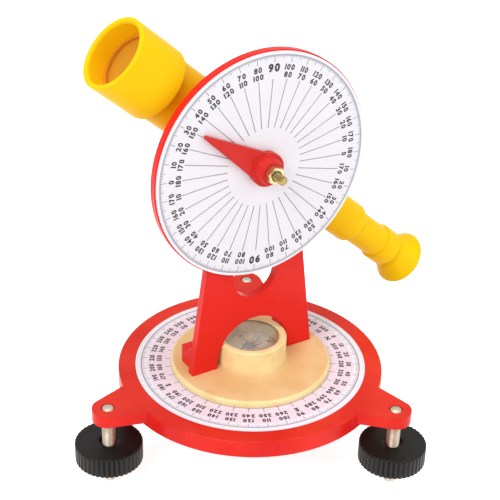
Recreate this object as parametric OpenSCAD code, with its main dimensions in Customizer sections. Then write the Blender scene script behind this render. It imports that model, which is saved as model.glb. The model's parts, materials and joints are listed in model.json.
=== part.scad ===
// School theodolite: a sighting telescope on a vertical circle, turning over a horizontal circle
// with a compass at its centre, on a base with three levelling screws.
// Origin: the base's axis at the level of the screw tips. +Z up. One lug points along +Y.

/* [Base] */
// Radius of the moulded base dish
base_r = 62; // [60:0.5:66]
// Height of the dish's skirt
base_h = 8; // [7:0.5:11]
// Thickness of the skirt wall
base_wall = 2.4; // [1.8:0.2:3.2]
// Thickness of the dish's top plate
base_top = 2.6; // [2:0.2:3.6]
// Thickness of the ribs under the top plate
rib_t = 1.8; // [1.2:0.2:2.4]
// Distance from the base's axis to each levelling screw
lug_place = 74.5; // [73:0.5:84]
// Thickness of each lug
lug_h = 6; // [5:0.25:7]
// Radius of each lug's round end
lug_end_r = 7.2; // [6.4:0.2:9]
// Width of each lug where it leaves the dish
lug_root_w = 24; // [20:1:30]

/* [Levelling screws] */
// Radius of a levelling screw
screw_r = 3; // [2:0.25:4]
// Radius of the plain tip that stands in a socket
tip_r = 2.5; // [1.5:0.1:2.9]
// Length of the plain tip
tip_len = 2; // [1.5:0.5:4]
// Length of a screw under its knob
screw_drop = 12; // [8:0.5:14]
// Radius of a knob over its ribs
knob_r = 15.4; // [13:0.2:17]
// Height of a knob
knob_h = 9.8; // [7:0.2:12]
// Number of grip ribs round a knob
knob_ribs = 42; // [30:1:48]
// Radius of each groove between two grip ribs
groove_r = 0.75; // [0.5:0.05:0.8]
// Space between the top of a knob and the foot of the dish
knob_gap = 10.2; // [8:0.2:14]

/* [Horizontal circle] */
// Radius of the printed horizontal circle
flat_dial_r = 54; // [46:0.5:56]
// Thickness of the printed horizontal circle
flat_dial_t = 0.5; // [0.3:0.1:0.8]

/* [Turntable] */
// Radius of the turntable
table_r = 37.5; // [36.5:0.5:42]
// Thickness of the turntable
table_t = 2.9; // [2.6:0.1:4]
// Size of the bevel round the turntable's rim
table_bevel = 1.7; // [0.8:0.1:2]
// Radius of the turntable's hub, which turns on the base
hub_r = 12; // [10:0.5:14]
// Angle that the upright is turned from facing -Y
turn_rest = 29.7; // [0:0.1:60]
// Radius of the centre bolt
bolt_r = 4; // [3:0.25:4.5]
// Radius of the centre bolt's head
bolt_head_r = 6.5; // [5.5:0.25:7.5]
// Height of the centre bolt's head
bolt_head_h = 2.6; // [2:0.2:3.4]
// Thickness of the washer under the base
bolt_washer_t = 0.8; // [0.6:0.1:1.2]
// Thickness of the nut under the base
bolt_nut_h = 2.4; // [2:0.2:3]
// Width of the nut under the base across its flats
bolt_nut_w = 13; // [11:0.5:15]

/* [Compass] */
// Outer radius of the compass bowl
bowl_r = 16.6; // [16:0.1:18]
// Height of the bowl's wall over the turntable
bowl_h = 10.4; // [10:0.2:13]
// Radius of the window in the bezel
window_r = 13.2; // [12:0.1:13.6]
// Radius of the compass glass
glass_r = 13.9; // [13.8:0.1:14.8]
// Thickness of the compass glass
glass_t = 1.5; // [1:0.1:2]
// Height of the bezel over the bowl's wall
bezel_h = 1.5; // [1.2:0.1:2.5]
// Thickness of the compass card
card_t = 0.4; // [0.3:0.1:0.8]
// Radius of the needle's pivot pin
pin_r = 0.8; // [0.6:0.05:1]
// Length of the pivot pin over the card
pin_h = 2.9; // [2.6:0.1:3]
// Length of the magnetic needle
needle_len = 22; // [18:0.5:23]
// Width of the needle at its middle
needle_w = 3.8; // [3.6:0.2:5]
// Thickness of the needle
needle_t = 0.4; // [0.3:0.1:0.6]

/* [Upright] */
// Width of the upright across its feet
feet_w = 64.4; // [62:0.4:66]
// Thickness of the upright plate
plate_t = 4; // [3.4:0.2:5]
// Height of the telescope's axis over the turntable
pivot_h = 101.3; // [100:0.5:110]
// Radius of the upright's round head
head_r = 18.6; // [16:0.2:20]
// Half the width of the arch between the legs
arch_r = 19.1; // [18.2:0.1:20]
// Height of the arch's straight sides
arch_h = 3.3; // [2:0.1:5]
// Half the width of the slot over the arch
slot_r = 11.3; // [9:0.1:12]
// Height of the slot's lower end over the turntable
slot_z = 34; // [31:0.5:36]
// Length of the slot from end to end
slot_len = 44; // [30:1:44]
// Depth of each foot behind the plate
foot_back = 12.6; // [11:0.2:14]
// Height of each foot
foot_h = 9; // [7:0.2:11]
// Radius of a foot's round corners
foot_round = 3.5; // [2:0.5:4]
// Radius of the fillet between a foot and the plate
foot_fillet = 6; // [3:0.5:7]
// Radius of the screws that hold the feet
foot_screw_r = 1.5; // [1.2:0.1:1.8]

/* [Vertical circle] */
// Radius of the printed vertical circle
tall_dial_r = 52; // [48:0.5:54]
// Thickness of the printed vertical circle
tall_dial_t = 0.8; // [0.5:0.1:1.2]
// Distance that the backing disc stands out past the printed circle
backing_lip = 0.6; // [0.4:0.1:1.5]
// Thickness of the backing disc
backing_t = 3.5; // [3:0.1:5]
// Radius of the screws that hold the backing disc
dial_screw_r = 1.2; // [1:0.1:1.4]

/* [Spindle and pointer] */
// Radius of the spindle that carries the telescope and the pointer
spindle_r = 2; // [1.8:0.1:2.6]
// Width of the spindle's head and nut across their flats
spindle_nut_w = 7; // [6:0.2:9]
// Thickness of the spindle's head
spindle_head_h = 3; // [2.6:0.1:3.6]
// Thickness of the spindle's nut
spindle_nut_h = 3.4; // [2.6:0.2:5]
// Length of the spindle past its nut
spindle_end = 5.6; // [3.6:0.5:10]
// Thickness of the friction washer
friction_t = 0.8; // [0.5:0.1:1.2]
// Radius of the friction washer
friction_r = 8.5; // [7:0.1:9]
// Distance from the spindle to the pointer's tip
pointer_len = 36.5; // [30:0.5:44]
// Radius of the pointer's hub
pointer_hub_r = 7.8; // [7:0.1:9]
// Radius of the raised middle of the pointer's hub
pointer_boss_r = 5.2; // [4.8:0.1:6]
// Height of the pointer's hub
pointer_hub_h = 6.8; // [5:0.2:8]
// Thickness of the pointer's blade
pointer_t = 2.4; // [1.6:0.1:3]
// Angle of the pointer over the horizontal
pointer_angle = 35; // [0:0.5:60]

/* [Telescope] */
// Angle of the telescope over the horizontal
tilt_rest = 41.4; // [0:0.1:44]
// Distance from the back of the upright to the telescope's axis
scope_off = 18.5; // [18.3:0.1:22]
// Distance of the telescope's axis over the spindle
scope_rise = 1.8; // [0:0.1:2.4]
// Radius of the front barrel
barrel_r = 14.8; // [14.2:0.05:15]
// Thickness of the barrel's wall
barrel_wall = 1.95; // [1.5:0.05:2.2]
// Distance from the spindle to the front end of the barrel
barrel_front = 67.3; // [62:0.1:70]
// Distance from the spindle to the shoulder behind it
barrel_back = 34; // [28:0.5:40]
// Radius of the rear barrel
rear_r = 10; // [9.6:0.05:11]
// Distance from the spindle to the end of the rear barrel
rear_end = 91; // [84:0.5:95]
// Radius of the boss that the spindle passes through
boss_r = 9; // [8.6:0.1:10]
// Radius of the hood over the front barrel
hood_r = 16.8; // [16.6:0.1:17.6]
// Length of the hood
hood_len = 27; // [23:0.5:30]
// Distance from the spindle to the hood's mouth
hood_front = 78.5; // [76:0.5:84]
// Radius of the hood's mouth
mouth_r = 14.2; // [13.8:0.1:14.6]
// Thickness of the objective lens at its edge
lens_t = 2.5; // [2:0.1:3.5]
// Thickness of the ring that holds the objective lens
lens_ring_t = 1.5; // [1:0.1:2]
// Radius of the draw tube
draw_r = 8.15; // [7.6:0.05:8.3]
// Thickness of the draw tube's wall
draw_wall = 1.3; // [1:0.1:1.5]
// Distance from the spindle to the draw tube's inner end
draw_start = 60; // [56:0.5:66]
// Distance from the spindle to the draw tube's collar
draw_collar = 111; // [108:0.5:116]
// Length of the collar
collar_len = 9; // [5:0.5:10]
// Radius of the collar
collar_r = 9.3; // [8.8:0.05:10]
// Length of the eyecup past the collar
cup_len = 13; // [10:0.5:18]
// Radius of the eyecup at its rim
cup_r = 13.5; // [11:0.1:14]
// Thickness of the eyecup's wall
cup_wall = 1.6; // [1.2:0.1:2]
// Thickness of the eyepiece lens and of the cross-hair glass
eye_lens_t = 2; // [1.5:0.1:3]

/* [Hidden] */

$fn = 96;
// Clearance of a shaft that turns or slides in its hole, on the radius
run_fit = 0.05;
// Clearance of a piece that is seated in its recess, on the radius
seat_fit = 0.1;
// Gap between flat faces that turn past each other
face_gap = 0.1;
// Gap that the turntable's rim keeps over the horizontal circle
table_gap = 0.3;
// Overlap that joins two shapes of one solid
bite = 0.5;
// Small edge rounding of the mouldings
edge = 0.8;
arc_steps = 6;
lug_angles = [90, 210, 330];

// Heights from the screw tips up
knob_z = screw_drop;
base_z = knob_z + knob_h + knob_gap;
top_z = base_z + base_h;
lug_z = top_z - lug_h;
seat_z = top_z - flat_dial_t;
under_z = top_z - base_top;
table_z = top_z + table_gap;
table_top = table_z + table_t;
bowl_floor = 1;
floor_z = table_top + bowl_floor;
card_clear = 0.4;
card_z = floor_z + bolt_head_h + card_clear;
bowl_top = table_top + bowl_h;
glass_z = bowl_top - glass_t / 2;
pin_seat = 2;
pin_z = floor_z + bolt_head_h - pin_seat;
point_z = card_z + card_t + pin_h;
blade_z = point_z - needle_t;
pivot_z = table_top + pivot_h;
boss_depth = 3.5;
boss_z = seat_z - boss_depth;
washer_z = boss_z - face_gap - bolt_washer_t;
nut_z = washer_z - bolt_nut_h;

// Depths from the upright's middle plane to the back (+) and to the front (-)
plate_back = plate_t / 2;
plate_front = -plate_t / 2;
backing_front = plate_front - backing_t;
dial_front = backing_front - tall_dial_t;
pointer_gap = 0.3;
pointer_back = dial_front - pointer_gap;
hub_front = pointer_back - pointer_hub_h;
nut_front = hub_front - spindle_nut_h;
spindle_front = nut_front - spindle_end;
scope_y = plate_back + scope_off;
bore_r = barrel_r - barrel_wall;
// Seat of the spindle's head, which sinks into the boss from inside the barrel
boss_seat_y = scope_y - bore_r - spindle_head_h;
friction_y = plate_back + face_gap / 2;
boss_y = friction_y + friction_t;

// Screws of the feet and of the backing disc
screw_bite = 0.7;
foot_screw_len = table_t + foot_h * screw_bite;
circle_screw_len = plate_t + backing_t * screw_bite;
circle_screw_out = (friction_r + head_r) / 2;

// Telescope stations along its axis, from the spindle towards the object
lens_lip = 0.9;
lens_r = bore_r + lens_lip;
lens_back = barrel_front - lens_t;
hood_back = hood_front - hood_len;
ring_front = barrel_front + lens_ring_t;
draw_bore = draw_r - draw_wall;
step_in = 1;
shoulder_len = 4;
collar_end = draw_collar + collar_len;
cup_end = collar_end + cup_len;
spigot_len = 11.5;
spigot_wall = 1.4;
spigot_r = draw_bore - run_fit;
cup_bore = spigot_r - spigot_wall;
eye_lens_z = -collar_end + spigot_len;
cross_t = 2;

// Points of an arc, for the round edge of a profile
function arc(c, r, from, to) =
    [for (i = [0:arc_steps]) let (a = from + (to - from) * i / arc_steps) [c[0] + r * cos(a), c[1] + r * sin(a)]];

module pipe(outer, inner, low, high) {
    translate([0, 0, low])
        difference() {
            cylinder(r = outer, h = high - low);
            translate([0, 0, -bite]) cylinder(r = inner, h = high - low + 2 * bite);
        }
}

// A hexagon of a given width across its flats
module hex_bar(width, low, high) {
    translate([0, 0, low]) cylinder(r = width / sqrt(3), h = high - low, $fn = 6);
}

// A screw that points along +Z, with its countersunk head's face at z = 0
module sunk_screw(r, len, grow = 0) {
    head = 2 * r;
    cylinder(r1 = head + grow, r2 = r + grow, h = r + grow);
    cylinder(r = r + grow, h = len + grow);
}

module on_turn() rotate([0, 0, turn_rest]) children();

// The frame of the spindle: +Z forwards out of the vertical circle
module on_spindle() on_turn() translate([0, 0, pivot_z]) rotate([90, 0, 0]) children();

// The frame of the telescope: +Z towards the object, -Y towards the upright
module on_scope()
    on_turn() translate([0, scope_y, pivot_z]) rotate([0, tilt_rest - 90, 0]) translate([scope_rise, 0, 0]) children();

module on_screw(i) rotate([0, 0, lug_angles[i]]) translate([lug_place, 0, 0]) children();

// ---- Base ----

// A lug's outline: two straight sides that run tangent into its round end
module lug_outline(inset = 0) {
    root_x = base_r - base_wall;
    half = lug_root_w / 2 - inset;
    end_r = lug_end_r - inset;
    reach = lug_place - root_x;
    lean = asin(end_r / norm([reach, half])) - atan2(half, reach);
    touch = [lug_place - end_r * sin(lean), end_r * cos(lean)];
    polygon([[root_x, -half], [touch[0], -touch[1]], [touch[0], touch[1]], [root_x, half]]);
    if (inset == 0) translate([lug_place, 0]) circle(r = end_r);
}

module dish_profile() {
    polygon(concat([[0, under_z], [0, seat_z], [flat_dial_r + seat_fit, seat_z], [flat_dial_r + seat_fit, top_z]],
        arc([base_r - edge, top_z - edge], edge, 90, 0),
        [[base_r, base_z], [base_r - base_wall, base_z], [base_r - base_wall, under_z]]));
}

module base_plate() {
    rib_z = base_z + 1.5;
    ring_rib_r = base_r * 0.55;
    hub_wall = 5;
    color([0.89, 0.18, 0.15])
    difference() {
        union() {
            rotate_extrude() dish_profile();
            for (a = lug_angles) rotate([0, 0, a])
                difference() {
                    translate([0, 0, lug_z]) linear_extrude(lug_h) lug_outline();
                    translate([0, 0, lug_z - bite]) linear_extrude(under_z - lug_z + bite) lug_outline(base_wall);
                }
            for (i = [0:2]) on_screw(i) translate([0, 0, lug_z]) cylinder(r = lug_end_r, h = lug_h);
            translate([0, 0, boss_z]) cylinder(r = bolt_r + hub_wall, h = seat_z - boss_z);
            pipe(ring_rib_r, ring_rib_r - rib_t, rib_z, under_z + bite);
            for (a = [30:60:330]) rotate([0, 0, a])
                translate([bolt_nut_w, -rib_t / 2, rib_z])
                    cube([base_r - base_wall / 2 - bolt_nut_w, rib_t, under_z - rib_z + bite]);
        }
        translate([0, 0, boss_z - bite]) cylinder(r = bolt_r + run_fit, h = seat_z);
        for (i = [0:2]) on_screw(i) cylinder(r = screw_r + run_fit, h = top_z + bite);
    }
}

module horizontal_circle() {
    color([0.93, 0.87, 0.91]) pipe(flat_dial_r, hub_r + face_gap + seat_fit, seat_z, top_z);
}

// ---- Levelling screws ----

module levelling_screw(i) {
    color([0.75, 0.74, 0.71])
    on_screw(i) {
        cylinder(r = tip_r, h = tip_len + bite);
        translate([0, 0, tip_len]) cylinder(r = screw_r, h = top_z - tip_len);
    }
}

module knob_profile() {
    sink = 1.2;
    sink_r = screw_r + 1.6;
    polygon(concat([[0, 0]],
        arc([knob_r - edge, edge], edge, -90, 0),
        arc([knob_r - edge, knob_h - edge], edge, 0, 90),
        [[sink_r, knob_h], [sink_r - sink, knob_h - sink], [0, knob_h - sink]]));
}

module levelling_knob(i) {
    color([0.1, 0.09, 0.09])
    on_screw(i) translate([0, 0, knob_z])
        difference() {
            intersection() {
                rotate_extrude() knob_profile();
                linear_extrude(knob_h)
                    difference() {
                        circle(r = knob_r);
                        for (k = [0:knob_ribs - 1]) rotate(k * 360 / knob_ribs)
                            translate([knob_r + groove_r / 4, 0]) circle(r = groove_r, $fn = 24);
                    }
            }
            translate([0, 0, -bite]) cylinder(r = screw_r + run_fit, h = knob_h + 2 * bite);
        }
}

// ---- Turntable and its centre bolt ----

module table_profile() {
    bowl_in = window_r;
    ledge_r = window_r - step_in;
    rebate_r = glass_r + seat_fit;
    foot_fillet_r = 1.6;
    polygon(concat([[0, seat_z + face_gap], [hub_r, seat_z + face_gap], [hub_r, table_z], [table_r, table_z]],
        arc([table_r - table_bevel, table_top - table_bevel], table_bevel, 0, 90),
        arc([bowl_r + foot_fillet_r, table_top + foot_fillet_r], foot_fillet_r, -90, -180),
        [[bowl_r, bowl_top], [rebate_r, bowl_top], [rebate_r, glass_z], [bowl_in, glass_z], [bowl_in, card_z],
        [ledge_r, card_z], [ledge_r, floor_z], [0, floor_z]]));
}

module turntable() {
    color([0.96, 0.83, 0.58])
    on_turn()
        difference() {
            rotate_extrude() table_profile();
            translate([0, 0, seat_z]) cylinder(r = bolt_r + run_fit, h = floor_z);
            for (side = [-1, 1]) foot_screw_place(side) sunk_screw(foot_screw_r, table_t + bite, run_fit);
        }
}

module centre_bolt() {
    color([0.72, 0.71, 0.68])
    on_turn()
        difference() {
            union() {
                translate([0, 0, nut_z]) cylinder(r = bolt_r, h = floor_z + bite - nut_z);
                translate([0, 0, floor_z]) cylinder(r = bolt_head_r, h = bolt_head_h);
            }
            translate([0, 0, pin_z]) cylinder(r = pin_r + run_fit, h = bolt_head_h);
        }
}

module centre_washer() {
    color([0.72, 0.71, 0.68]) on_turn() pipe(bolt_r + 3, bolt_r + run_fit, washer_z, washer_z + bolt_washer_t);
}

module centre_nut() {
    color([0.72, 0.71, 0.68])
    on_turn()
        difference() {
            hex_bar(bolt_nut_w, nut_z, washer_z);
            translate([0, 0, nut_z - bite]) cylinder(r = bolt_r + run_fit, h = bolt_nut_h + 2 * bite);
        }
}

// ---- Compass ----

module compass_card() {
    color([0.88, 0.86, 0.8]) on_turn() pipe(window_r - seat_fit, pin_r + seat_fit, card_z, card_z + card_t);
}

module compass_pivot() {
    taper = 1.2;
    color([0.75, 0.74, 0.71])
    on_turn() rotate_extrude()
        polygon([[0, pin_z], [pin_r, pin_z], [pin_r, point_z - taper], [0, point_z]]);
}

module compass_needle() {
    cap_r = needle_w / 2 - 0.3;
    cap_down = 1.6;
    cap_top = 0.6;
    crown = 0.15;
    north = 54.3;
    color([0.2, 0.22, 0.28])
    difference() {
        union() {
            translate([0, 0, blade_z]) rotate([0, 0, north]) linear_extrude(needle_t)
                polygon([[-needle_len / 2, 0], [0, -needle_w / 2], [needle_len / 2, 0], [0, needle_w / 2]]);
            translate([0, 0, blade_z - cap_down]) cylinder(r = cap_r, h = cap_down + needle_t + cap_top);
        }
        translate([0, 0, blade_z - cap_down - bite]) cylinder(r = pin_r + run_fit, h = point_z + crown - blade_z + cap_down + bite);
    }
}

module compass_glass() {
    color([0.85, 0.92, 0.93, 0.35]) on_turn() translate([0, 0, glass_z]) cylinder(r = glass_r, h = glass_t);
}

module bezel_profile() {
    top = bowl_top + bezel_h;
    rebate_r = glass_r + seat_fit;
    polygon(concat([[window_r, glass_z + glass_t], [rebate_r, glass_z + glass_t], [rebate_r, bowl_top], [bowl_r, bowl_top]],
        arc([bowl_r - edge, top - edge], edge, 0, 90),
        [[window_r + bezel_h / 2, top], [window_r, top - bezel_h / 3]]));
}

module compass_bezel() {
    color([0.97, 0.87, 0.65]) on_turn() rotate_extrude() bezel_profile();
}

// ---- Upright ----

// Where the side of the upright runs tangent into its round head
function head_touch() =
    let (corner = [feet_w / 2, 0], away = norm([corner[0], pivot_h]),
        turn = -atan2(pivot_h, corner[0]) + acos(head_r / away))
    [head_r * cos(turn), pivot_h + head_r * sin(turn)];

// Half the width of the upright at a height over the turntable
function half_width(z) = feet_w / 2 + (head_touch()[0] - feet_w / 2) * z / head_touch()[1];

module upright_outline() {
    t = head_touch();
    difference() {
        union() {
            polygon([[-feet_w / 2, 0], [feet_w / 2, 0], t, [-t[0], t[1]]]);
            translate([0, pivot_h]) circle(r = head_r);
        }
        translate([-arch_r, -bite]) square([2 * arch_r, arch_h + bite]);
        translate([0, arch_h]) circle(r = arch_r);
        for (z = [slot_z + slot_r, slot_z + slot_len - slot_r]) translate([0, z]) circle(r = slot_r);
        translate([-slot_r, slot_z + slot_r]) square([2 * slot_r, slot_len - 2 * slot_r]);
        translate([0, pivot_h]) circle(r = spindle_r + run_fit);
    }
}

module foot_side() {
    back = plate_back + foot_back;
    square([back - foot_round, foot_h]);
    square([back, foot_h - foot_round]);
    translate([back - foot_round, foot_h - foot_round]) circle(r = foot_round);
    difference() {
        square([plate_back + foot_fillet, foot_h + foot_fillet]);
        translate([plate_back + foot_fillet, foot_h + foot_fillet]) circle(r = foot_fillet);
    }
}

module foot_plan(width) {
    back = plate_back + foot_back;
    square([width, back - foot_round]);
    translate([foot_round, 0]) square([width - 2 * foot_round, back]);
    for (x = [foot_round, width - foot_round]) translate([x, back - foot_round]) circle(r = foot_round);
}

module foot_screw_place(side) {
    mid = (arch_r + feet_w / 2) / 2;
    translate([side * mid, plate_back + foot_back / 2, table_z]) children();
}

module upright_foot() {
    width = half_width(foot_h + foot_fillet) - arch_r;
    translate([arch_r, 0, table_top])
        intersection() {
            rotate([90, 0, 90]) linear_extrude(width) foot_side();
            linear_extrude(foot_h + foot_fillet) foot_plan(width);
        }
}

module upright() {
    color([0.92, 0.16, 0.13])
    on_turn()
        difference() {
            union() {
                translate([0, plate_back, table_top]) rotate([90, 0, 0]) linear_extrude(plate_t) upright_outline();
                upright_foot();
                mirror([1, 0, 0]) upright_foot();
            }
            for (side = [-1, 1]) foot_screw_place(side)
                cylinder(r = foot_screw_r + run_fit, h = foot_screw_len + run_fit);
            circle_screw_places() sunk_screw(dial_screw_r, circle_screw_len, run_fit);
        }
}

module upright_screws() {
    color([0.75, 0.74, 0.71])
    on_turn() for (side = [-1, 1]) foot_screw_place(side) sunk_screw(foot_screw_r, foot_screw_len);
}

// ---- Vertical circle ----

// The backing disc's screws go in from the back of the upright
module circle_screw_places() {
    for (side = [-1, 1]) translate([side * circle_screw_out, plate_back, pivot_z]) rotate([90, 0, 0]) children();
}

module circle_backing() {
    color([0.87, 0.2, 0.14])
    difference() {
        on_spindle()
            pipe(tall_dial_r + backing_lip, spindle_r + step_in, -plate_front, -backing_front);
        on_turn() circle_screw_places() sunk_screw(dial_screw_r, circle_screw_len, run_fit);
    }
}

module vertical_circle() {
    color([0.94, 0.93, 0.95]) on_spindle() pipe(tall_dial_r, spindle_r + step_in, -backing_front, -dial_front);
}

module circle_screws() {
    color([0.75, 0.74, 0.71]) on_turn() circle_screw_places() sunk_screw(dial_screw_r, circle_screw_len);
}

// ---- Spindle and pointer ----

module spindle() {
    color([0.66, 0.57, 0.32])
    on_spindle() {
        hex_bar(spindle_nut_w, -boss_seat_y - spindle_head_h, -boss_seat_y);
        translate([0, 0, -boss_seat_y - bite]) cylinder(r = spindle_r, h = boss_seat_y - spindle_front + bite);
    }
}

module spindle_nut() {
    color([0.72, 0.6, 0.3])
    on_spindle()
        difference() {
            hex_bar(spindle_nut_w, -hub_front, -nut_front);
            translate([0, 0, -hub_front - bite]) cylinder(r = spindle_r + run_fit, h = spindle_nut_h + 2 * bite);
        }
}

module friction_washer() {
    color([0.25, 0.24, 0.23]) on_spindle() pipe(friction_r, spindle_r + run_fit, -boss_y, -friction_y);
}

module pointer_blade() {
    tip = 0.9;
    reach = pointer_len - tip;
    half = pointer_hub_r - edge;
    lean = atan2(half - tip, reach);
    polygon(concat([[0, half], [0, -half]], arc([reach, 0], tip, lean - 90, 90 - lean)));
}

module pointer() {
    slope = 1.4;
    color([0.88, 0.18, 0.14])
    on_spindle() translate([0, 0, -pointer_back]) rotate([0, 0, 180 - pointer_angle])
        difference() {
            union() {
                linear_extrude(pointer_t) pointer_blade();
                cylinder(r = pointer_hub_r, h = pointer_t + edge);
                translate([0, 0, pointer_t + edge - bite / 5])
                    cylinder(r1 = pointer_boss_r + slope, r2 = pointer_boss_r, h = pointer_hub_h - pointer_t - edge + bite / 5);
            }
            translate([0, 0, -bite]) cylinder(r = spindle_r + run_fit, h = pointer_hub_h + 2 * bite);
        }
}

// ---- Telescope ----

module barrel_profile() {
    round = 3;
    neck_r = draw_r + run_fit;
    polygon(concat([[lens_r + seat_fit, barrel_front], [barrel_r, barrel_front]],
        arc([barrel_r - shoulder_len, -barrel_back], shoulder_len, 0, -90),
        [[rear_r, -barrel_back - shoulder_len]],
        arc([rear_r - edge, -rear_end + round], edge, 0, -45),
        [[neck_r, -rear_end], [neck_r, -barrel_back - barrel_wall], [bore_r - shoulder_len, -barrel_back - barrel_wall]],
        arc([bore_r - shoulder_len, -barrel_back - barrel_wall + shoulder_len], shoulder_len, -90, 0),
        [[bore_r, lens_back], [lens_r + seat_fit, lens_back]]));
}

module telescope_barrel() {
    color([0.98, 0.8, 0.06])
    difference() {
        union() {
            on_scope() rotate_extrude() barrel_profile();
            difference() {
                on_spindle() translate([0, 0, -scope_y]) cylinder(r = boss_r, h = scope_y - boss_y);
                on_scope() translate([0, 0, -2 * boss_r]) cylinder(r = bore_r, h = 4 * boss_r);
            }
        }
        on_spindle() translate([0, 0, -boss_seat_y - bite]) cylinder(r = spindle_r + run_fit, h = scope_y);
        on_spindle() hex_bar(spindle_nut_w + 2 * seat_fit, -scope_y, -boss_seat_y);
    }
}

module hood_profile() {
    round = 1.4;
    lip = 1.6;
    sleeve_r = barrel_r + run_fit;
    polygon(concat([[sleeve_r, hood_back]],
        arc([hood_r - round, hood_back + round], round, -90, 0),
        arc([hood_r - edge, hood_front - edge], edge, 0, 90),
        arc([mouth_r + lip, hood_front - lip], lip, 90, 180),
        [[mouth_r, ring_front], [sleeve_r, ring_front]]));
}

module objective_hood() {
    color([0.99, 0.83, 0.08]) on_scope() rotate_extrude() hood_profile();
}

module objective_lens() {
    bulge = 1;
    dome_r = (pow(bore_r, 2) + pow(bulge, 2)) / (2 * bulge);
    color([0.8, 0.88, 0.9, 0.35])
    on_scope() {
        translate([0, 0, lens_back]) cylinder(r = lens_r, h = lens_t);
        intersection() {
            translate([0, 0, barrel_front + bulge - dome_r]) sphere(r = dome_r);
            translate([0, 0, lens_back + bite]) cylinder(r = bore_r, h = lens_t);
        }
    }
}

module objective_ring() {
    color([0.86, 0.6, 0.12]) on_scope() pipe(barrel_r, bore_r + run_fit, barrel_front, ring_front);
}

module draw_profile() {
    step_r = draw_bore - step_in;
    glass_end = -draw_start - cross_t;
    polygon(concat([[draw_bore, -draw_start], [draw_r, -draw_start], [draw_r, -draw_collar]],
        arc([collar_r - edge, -draw_collar - edge], edge, 90, 0),
        [[collar_r, -collar_end], [draw_bore, -collar_end], [draw_bore, eye_lens_z + eye_lens_t],
        [step_r, eye_lens_z + eye_lens_t], [step_r, glass_end], [draw_bore, glass_end]]));
}

module draw_tube() {
    color([0.97, 0.78, 0.05]) on_scope() rotate_extrude() draw_profile();
}

module crosshair_glass() {
    color([0.85, 0.92, 0.93, 0.35])
    on_scope() translate([0, 0, -draw_start - cross_t]) cylinder(r = draw_bore - run_fit, h = cross_t);
}

module eyepiece_lens() {
    color([0.8, 0.88, 0.9, 0.35])
    on_scope() translate([0, 0, eye_lens_z]) cylinder(r = draw_bore - run_fit, h = eye_lens_t);
}

module cup_profile() {
    rim = cup_wall / 2;
    polygon(concat([[cup_bore, eye_lens_z], [spigot_r, eye_lens_z], [spigot_r, -collar_end]],
        arc([cup_r - rim, -cup_end + rim], rim, 0, -180),
        [[cup_bore, -collar_end - cup_wall]]));
}

module eyecup() {
    color([0.97, 0.77, 0.05]) on_scope() rotate_extrude() cup_profile();
}

base_plate();
horizontal_circle();
centre_bolt();
centre_washer();
centre_nut();
turntable();
compass_card();
compass_pivot();
compass_needle();
compass_glass();
compass_bezel();
upright();
upright_screws();
circle_backing();
vertical_circle();
circle_screws();
spindle();
spindle_nut();
friction_washer();
pointer();
telescope_barrel();
objective_hood();
objective_lens();
objective_ring();
draw_tube();
crosshair_glass();
eyepiece_lens();
eyecup();
levelling_screw(0);  // levelling_screw_back
levelling_screw(1);  // levelling_screw_left
levelling_screw(2);  // levelling_screw_right
levelling_knob(0);  // levelling_knob_back
levelling_knob(1);  // levelling_knob_left
levelling_knob(2);  // levelling_knob_right
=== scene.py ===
"""School theodolite: finishes, printed circles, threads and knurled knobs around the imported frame.

Lengths are in millimetres in the object's frame until a mesh is written, which is in metres.
"""
import json
import math

import bpy
import numpy as np
from mathutils import Matrix, Vector


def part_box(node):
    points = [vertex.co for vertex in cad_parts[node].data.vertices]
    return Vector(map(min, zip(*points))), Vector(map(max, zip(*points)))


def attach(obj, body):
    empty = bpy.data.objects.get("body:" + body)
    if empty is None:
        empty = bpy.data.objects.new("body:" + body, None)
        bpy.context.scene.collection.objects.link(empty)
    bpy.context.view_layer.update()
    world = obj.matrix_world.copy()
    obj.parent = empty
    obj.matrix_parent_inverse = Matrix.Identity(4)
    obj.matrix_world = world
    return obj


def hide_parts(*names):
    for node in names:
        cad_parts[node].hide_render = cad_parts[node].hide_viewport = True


MM = 0.001
TAU = 2 * math.pi
ACROSS, DEEP, UP = (1, 0, 0), (0, 1, 0), (0, 0, 1)
SIDES = ("back", "left", "right")

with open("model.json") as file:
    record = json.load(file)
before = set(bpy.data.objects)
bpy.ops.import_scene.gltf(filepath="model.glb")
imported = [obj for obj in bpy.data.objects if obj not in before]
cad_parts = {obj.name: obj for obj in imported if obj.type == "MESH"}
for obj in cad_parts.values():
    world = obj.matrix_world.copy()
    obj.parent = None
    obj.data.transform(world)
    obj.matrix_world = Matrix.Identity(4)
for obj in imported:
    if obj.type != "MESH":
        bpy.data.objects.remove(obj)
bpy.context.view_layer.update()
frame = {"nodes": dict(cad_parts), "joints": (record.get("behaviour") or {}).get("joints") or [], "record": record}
nodes = frame["nodes"]


# ---------------------------------------------------------------- places taken from the frame

def joint(name):
    """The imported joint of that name."""
    return next(j for j in frame["joints"] if j["name"] == name)


def box_mm(node):
    """Lowest and highest corner of a CAD node, in millimetres."""
    low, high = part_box(node)
    return np.array(low) / MM, np.array(high) / MM


def basis(x_dir, y_dir, origin):
    """A 4 by 4 matrix that carries local points to the object's frame: right, up, their cross product."""
    x = np.array(x_dir, float)
    y = np.array(y_dir, float)
    place = np.eye(4)
    place[:3, 0] = x
    place[:3, 1] = y
    place[:3, 2] = np.cross(x, y)
    place[:3, 3] = origin
    return place


def standing(x, y, z):
    """A place at a point, with the object's own directions."""
    return basis(ACROSS, DEEP, (x, y, z))


def turned(place, degrees):
    """The same place with its own right and up turned about its own forward axis."""
    a = math.radians(degrees)
    spin = np.eye(4)
    spin[:2, :2] = [[math.cos(a), -math.sin(a)], [math.sin(a), math.cos(a)]]
    return place @ spin


def moved(place, forward):
    """The same place, further along its own forward axis."""
    out = place.copy()
    out[:3, 3] += forward * place[:3, 2]
    return out


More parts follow.
